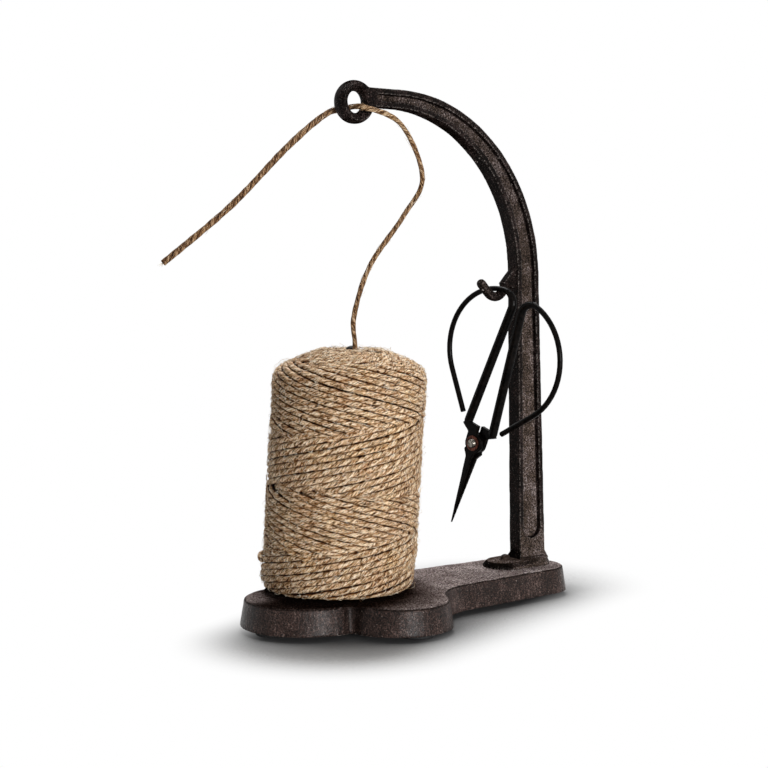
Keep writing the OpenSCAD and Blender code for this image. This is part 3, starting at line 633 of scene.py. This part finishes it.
# Cast iron: sand-cast, so grainy and softly rounded, then blackened and waxed to a dark brown.
# Fine pits, upright draw marks on the sides, small painted glints, pale metal on worn edges that also
# stands for painted edge highlights, a grey bloom of dust that also stands for painted light on the tops,
# and near-black darkening, which is mostly painted shadow and shade.
# The sides keep a little gloss, flat tops are dry and dull. Sizes of the grains in millimetres: casting
# sand is finer than half a millimetre, so its grain is drawn a little coarser than real to show
LUMP_SIZE = 9
STREAK_SIZE = 0.9
STREAK_DRAWN = (1, 1, 0.14)
GRIT_SIZE = 0.65
SAND_SIZE = 0.5
# Near-black for the darkening, which is mostly painted shadow and shade
DARKENING_BLACK = "#060403"
WORN_EDGE_GLINT = "#b4aaa4"


def cast_iron_material(name, grain, depth, drawn, wax, dust_and_light, gloss, wear, dust_light_shade):
    """Waxed cast iron.

    It takes the size and depth of its pits in millimetres, the share of draw marks, the colours of its
    wax and of its dust with painted light, the gloss of its sides, the strength of its worn edges with
    painted edge highlights, and what lays dust, painted light and darkening on it.
    """
    made, tree, skin = new_material(name)
    place = add(tree, "ShaderNodeTexCoord").outputs["Object"]
    surface = add(tree, "ShaderNodeNewGeometry")
    facing = add(tree, "ShaderNodeSeparateXYZ", {0: surface.outputs["Normal"]})
    dust_and_light_share, darkened = dust_light_shade(tree, place, facing)
    upright = add(tree, "ShaderNodeMapping", {"Vector": place, "Scale": STREAK_DRAWN})
    pits, lumps, streaks, grit, sand = (
        add(tree, "ShaderNodeTexNoise", {
            "Vector": where, "Scale": per_mm(size), "Detail": detail, "Roughness": rough}).outputs["Fac"]
        for where, size, detail, rough in (
            (place, grain, 4.0, 0.65), (place, LUMP_SIZE, 2.0, 0.5),
            (upright.outputs[0], STREAK_SIZE, 3.0, 0.65), (place, GRIT_SIZE, 1.0, 0.5),
            (place, SAND_SIZE, 2.0, 0.6)))
    flat = add(tree, "ShaderNodeMath", {0: facing.outputs["Z"]}, operation="ABSOLUTE").outputs[0]
    steep = add(tree, "ShaderNodeMapRange", {
        "Value": flat, "From Min": 0.3, "From Max": 0.8, "To Min": drawn, "To Max": 0.0})
    rough_cast = add(tree, "ShaderNodeMix", {
        "Factor": steep.outputs["Result"], 2: pits, 3: streaks}).outputs[0]
    blotchy = add(tree, "ShaderNodeMix", {"Factor": 0.3, 2: rough_cast, 3: lumps}).outputs[0]
    waxed, dust_and_light_colour = (
        add(tree, "ShaderNodeValToRGB", {"Fac": blotchy}, stops=stops).outputs["Color"]
        for stops in (wax, dust_and_light))
    sandy = add(tree, "ShaderNodeValToRGB", {"Fac": sand}, stops=[
        (0.38, "#4a4a4a"), (0.5, "#bcbcbc"), (0.62, "#fafafa")]).outputs["Color"]
    # Painted glints: pale specks added on the grit, fewer on flat tops
    painted_glint = add(tree, "ShaderNodeValToRGB", {"Fac": grit}, stops=[
        (0.68, "#000000"), (0.79, "#8a7f78")]).outputs["Color"]
    sparse = add(tree, "ShaderNodeMapRange", {
        "Value": flat, "From Min": 0.4, "From Max": 0.9, "To Min": 0.7, "To Max": 0.4})
    # Pale worn metal on the edges, which also stands for painted edge highlights
    worn_edge_glint = patchy(tree, [(wear, (surface.outputs["Pointiness"], 0.52, 0.57), (grit, 0.46, 0.6))])
    colour = waxed
    # Layered on the wax: dust with painted light, sand grain, darkening that is mostly painted shade, painted
    # glints, and pale worn edges with painted highlights
    for share, layer, way in (
            (dust_and_light_share, dust_and_light_colour, "MIX"), (1.0, sandy, "OVERLAY"), (darkened, linear(DARKENING_BLACK), "MIX"),
            (sparse.outputs["Result"], painted_glint, "ADD"), (worn_edge_glint, linear(WORN_EDGE_GLINT), "MIX")):
        colour = add(tree, "ShaderNodeMix", {"Factor": share, 6: colour, 7: layer},
                     data_type="RGBA", blend_type=way).outputs[2]
    sheen = add(tree, "ShaderNodeMapRange", {
        "Value": grit, "From Min": 0.4, "From Max": 0.72, "To Min": 0.44, "To Max": 0.28})
    gloss_left = add(tree, "ShaderNodeMath", {0: darkened, 1: -gloss, 2: gloss}, operation="MULTIPLY_ADD")
    polish = add(tree, "ShaderNodeMapRange", {
        "Value": flat, "From Min": 0.35, "From Max": 0.8, "To Min": gloss_left.outputs[0], "To Max": 0.0})
    relief = add(tree, "ShaderNodeBump", {"Strength": 1.0, "Distance": depth * MM, "Height": rough_cast})
    feed(tree, skin, {
        "Base Color": colour, "Roughness": sheen.outputs["Result"], "Normal": relief.outputs["Normal"],
        "Specular IOR Level": polish.outputs["Result"]})
    return made


# Blackened forged steel: nearly black oxide with a satin, faintly brown gloss
def blackened_material(name, dark, light, rough):
    """Steel whose oxide goes from dark to light, about this rough."""
    made, tree, skin = new_material(name)
    place = add(tree, "ShaderNodeTexCoord").outputs["Object"]
    oxide = add(tree, "ShaderNodeTexNoise", {
        "Vector": place, "Scale": per_mm(2.2), "Detail": 3.0, "Roughness": 0.6}).outputs["Fac"]
    colours = add(tree, "ShaderNodeValToRGB", {"Fac": oxide}, stops=[(0.35, dark), (0.7, light)])
    satin = add(tree, "ShaderNodeMapRange", {
        "Value": oxide, "From Min": 0.3, "From Max": 0.7, "To Min": rough - 0.08, "To Max": rough + 0.1})
    relief = add(tree, "ShaderNodeBump", {"Strength": 0.35, "Distance": 0.15 * MM, "Height": oxide})
    feed(tree, skin, {
        "Base Color": colours.outputs["Color"], "Roughness": satin.outputs["Result"],
        "Normal": relief.outputs["Normal"], "Specular IOR Level": 0.04})
    return made


# Bright metal: turned, then worn, with fine scratches
def bright_material(name, dull, bright, rough):
    """Bare metal that goes from dull to bright, this rough."""
    made, tree, skin = new_material(name)
    place = add(tree, "ShaderNodeTexCoord").outputs["Object"]
    wear = add(tree, "ShaderNodeTexNoise", {
        "Vector": place, "Scale": per_mm(1.4), "Detail": 4.0, "Roughness": 0.7}).outputs["Fac"]
    colours = add(tree, "ShaderNodeValToRGB", {"Fac": wear}, stops=[(0.36, dull), (0.62, bright)])
    relief = add(tree, "ShaderNodeBump", {"Strength": 0.25, "Distance": 0.1 * MM, "Height": wear})
    feed(tree, skin, {
        "Base Color": colours.outputs["Color"], "Normal": relief.outputs["Normal"], "Metallic": 1.0,
        "Roughness": rough})
    return made


# Moulded black rubber: matt, with a faint moulding grain, drawn coarse enough to show
def rubber_material(name):
    """Black rubber for the feet."""
    made, tree, skin = new_material(name)
    place = add(tree, "ShaderNodeTexCoord").outputs["Object"]
    grain = add(tree, "ShaderNodeTexNoise", {
        "Vector": place, "Scale": per_mm(0.9), "Detail": 2.0}).outputs["Fac"]
    colours = add(tree, "ShaderNodeValToRGB", {"Fac": grain}, stops=[(0.3, "#0d0d0d"), (0.7, "#1b1a1a")])
    relief = add(tree, "ShaderNodeBump", {"Strength": 0.3, "Distance": 0.1 * MM, "Height": grain})
    feed(tree, skin, {
        "Base Color": colours.outputs["Color"], "Normal": relief.outputs["Normal"], "Roughness": 0.8})
    return made


iron_base = cast_iron_material(
    "cast_iron_base", grain=1.0, depth=0.24, drawn=0.4, gloss=0.14, wear=0.2, dust_light_shade=base_dust_light_shade,
    wax=[(0.4, "#110a08"), (0.47, "#241915"), (0.54, "#342723"), (0.63, "#544540")],
    dust_and_light=[(0.36, "#463a37"), (0.48, "#746866"), (0.56, "#8a7f7c"), (0.66, "#aea4a2")])
iron_arm = cast_iron_material(
    "cast_iron_arm", grain=0.75, depth=0.45, drawn=0.12, gloss=0.03, wear=0.55, dust_light_shade=arm_dust_light_shade,
    wax=[(0.4, "#030202"), (0.48, "#0f0a08"), (0.55, "#1f1715"), (0.64, "#4b3f3d")],
    dust_and_light=[(0.4, "#1c1513"), (0.48, "#43382f"), (0.54, "#584c49"), (0.62, "#877c79")])
black_steel = blackened_material("blackened_steel", "#020202", "#120e0c", 0.3)
waxed_screw = blackened_material("waxed_screw_steel", "#241c18", "#4a3e37", 0.4)
plated = bright_material("zinc_plate", "#6f6b64", "#b3aea4", 0.42)
rivet_bright = bright_material("worn_rivet_steel", "#24211f", "#8d877e", 0.25)
rivet_copper = bright_material("rivet_copper", "#140d0b", "#5f3a30", 0.3)
rubber = rubber_material("foot_rubber")

# Slow unevenness of a sand-cast face, and the softened edges of the small metal pieces
cast_swell = bpy.data.textures.new("cast_swell", "CLOUDS")
cast_swell.noise_scale = 7 * MM
cast_swell.noise_depth = 2
WELDED = 0.002 * MM
EDGE_WIDTH = 0.2 * MM
EDGE_ANGLE = math.radians(40)


def dress(node, material, voxel=None, smooth=0, swell=0):
    """Gives a CAD node its finish; a casting or forging is also rounded off and made uneven."""
    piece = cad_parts[node]
    piece.data.materials.clear()
    piece.data.materials.append(material)
    weld = piece.modifiers.new("weld", "WELD")
    weld.merge_threshold = WELDED
    if voxel:
        skinned = piece.modifiers.new("cast_skin", "REMESH")
        skinned.mode = "VOXEL"
        skinned.voxel_size = voxel * MM
        skinned.use_smooth_shade = True
        softened = piece.modifiers.new("soft_edges", "SMOOTH")
        softened.factor = 0.5
        softened.iterations = smooth
    else:
        rounded = piece.modifiers.new("soft_edges", "BEVEL")
        rounded.width = EDGE_WIDTH
        rounded.segments = 2
        rounded.limit_method = "ANGLE"
        rounded.angle_limit = EDGE_ANGLE
    if swell:
        uneven = piece.modifiers.new("uneven", "DISPLACE")
        uneven.texture = cast_swell
        uneven.texture_coords = "LOCAL"
        uneven.strength = swell * MM
        uneven.mid_level = 0.5


dress("base", iron_base, 0.6, 1, 0.3)
dress("arm", iron_arm, 0.42, 1, 0.25)
for half in ("scissors_left", "scissors_right"):
    dress(half, black_steel, 0.24, 3)
dress("spindle", black_steel)
dress("plate_screw", waxed_screw)
for node in ("plate_washer", "plate_nut", "post_screw", "post_washer", "spindle_screw", "spindle_washer"):
    dress(node, plated)
dress("scissors_rivet", rivet_bright)
for node in ("rivet_washer_front", "rivet_washer_back"):
    dress(node, rivet_copper)
for node in ("foot_nose", "foot_front", "foot_rear", "foot_tongue"):
    dress(node, rubber)


def on_show(tree):
    """1 for what the camera sees, straight, mirrored or through glass, and 0 for the light on the object."""
    rays = add(tree, "ShaderNodeLightPath").outputs
    seen = rays["Is Camera Ray"]
    for kind in ("Is Glossy Ray", "Is Transmission Ray"):
        seen = add(tree, "ShaderNodeMath", {0: seen, 1: rays[kind]}, operation="MAXIMUM").outputs[0]
    return seen


# Floor: matt white paper. It keeps the lamps' shadow near the object, and its colour is darkened near the
# object by a painted contact shade, darkest close under it. With distance from a line that runs under the
# spool and the tongue, the shadow fades into plain white
FLOOR_SIZE = 6
CONTACT_REACH = 65 * MM
SHADOW_FROM, SHADOW_TO = Vector((-0.065, -0.027, 0)), Vector((0.076, 0.026, 0))
SHADOW_REACH = (0.078, 0.088)
SHADOW_FADE = (0.36, 0.875)
bm = bmesh.new()
bmesh.ops.create_grid(bm, x_segments=1, y_segments=1, size=FLOOR_SIZE)
floor_mesh = bpy.data.meshes.new("floor")
bm.to_mesh(floor_mesh)
bm.free()
floor = put("floor", floor_mesh)
paper, tree, skin = new_material("white_paper")
# Painted contact shade: the paper's colour darkens with ambient occlusion near the object, darkest close
# under it
contact = add(tree, "ShaderNodeAmbientOcclusion", {"Distance": CONTACT_REACH}, samples=8)
shade = add(tree, "ShaderNodeValToRGB", {"Fac": contact.outputs["AO"]}, stops=[
    (0.5, "#545454"), (0.65, "#626262"), (0.8, "#8c8c8c"), (0.93, "#a6a6a6"), (1.0, "#d4d4d4")])
feed(tree, skin, {"Base Color": shade.outputs["Color"], "Roughness": 0.9})
place = add(tree, "ShaderNodeTexCoord").outputs["Object"]
under = SHADOW_TO - SHADOW_FROM
offset = add(tree, "ShaderNodeVectorMath", {0: place, 1: SHADOW_FROM}, operation="SUBTRACT")
along = add(tree, "ShaderNodeVectorMath", {0: offset.outputs[0], 1: under / under.length_squared},
            operation="DOT_PRODUCT")
along = add(tree, "ShaderNodeClamp", {"Value": along.outputs["Value"]}).outputs[0]
nearest = add(tree, "ShaderNodeVectorMath", {0: under, 1: along, 2: SHADOW_FROM}, operation="MULTIPLY_ADD")
away = add(tree, "ShaderNodeVectorMath", {0: place, 1: nearest.outputs[0]}, operation="DISTANCE")
reach = add(tree, "ShaderNodeMapRange", {
    "Value": along, "To Min": SHADOW_REACH[0], "To Max": SHADOW_REACH[1]})
away = add(tree, "ShaderNodeMath", {0: away.outputs["Value"], 1: reach.outputs["Result"]}, operation="DIVIDE")
far = add(tree, "ShaderNodeMapRange", {
    "Value": away.outputs[0], "From Min": SHADOW_FADE[0], "From Max": SHADOW_FADE[1]},
    interpolation_type="SMOOTHSTEP")
white = add(tree, "ShaderNodeEmission", {"Color": (1, 1, 1, 1), "Strength": 1.0})
shown = add(tree, "ShaderNodeMixShader", {0: far.outputs["Result"], 1: skin.outputs[0], 2: white.outputs[0]})
mixed = add(tree, "ShaderNodeMixShader", {0: on_show(tree), 1: skin.outputs[0], 2: shown.outputs[0]})
feed(tree, tree.nodes["Material Output"], {"Surface": mixed.outputs[0]})
floor.data.materials.append(paper)

# Plain white surroundings, which light the object only a little, and two soft studio lamps
WORLD_LIGHT = 0.05
world = bpy.data.worlds.new("studio")
scene.world = world
world.use_nodes = True
tree = world.node_tree
strength = add(tree, "ShaderNodeMix", {0: on_show(tree), 2: WORLD_LIGHT, 3: 1.0})
feed(tree, tree.nodes["Background"], {"Color": (1, 1, 1, 1), "Strength": strength.outputs[0]})

LIT_AT = Vector((0, 0, 0.1))


def lamp(name, right, near, up, size, power):
    """A round lamp aimed at the object: metres to its right, towards the camera and up, width, and watts."""
    light = bpy.data.lights.new(name, "AREA")
    light.shape = "DISK"
    light.size = size
    light.energy = power
    made = put(name, light)
    made.location = LIT_AT + right * to_right + near * to_camera + Vector((0, 0, up))
    made.rotation_euler = (LIT_AT - made.location).to_track_quat("-Z", "Y").to_euler()


lamp("key", 1.4, 2.3, 0.12, 0.8, 77)
lamp("back", 0, -0.48, 1.2, 1.0, 22)
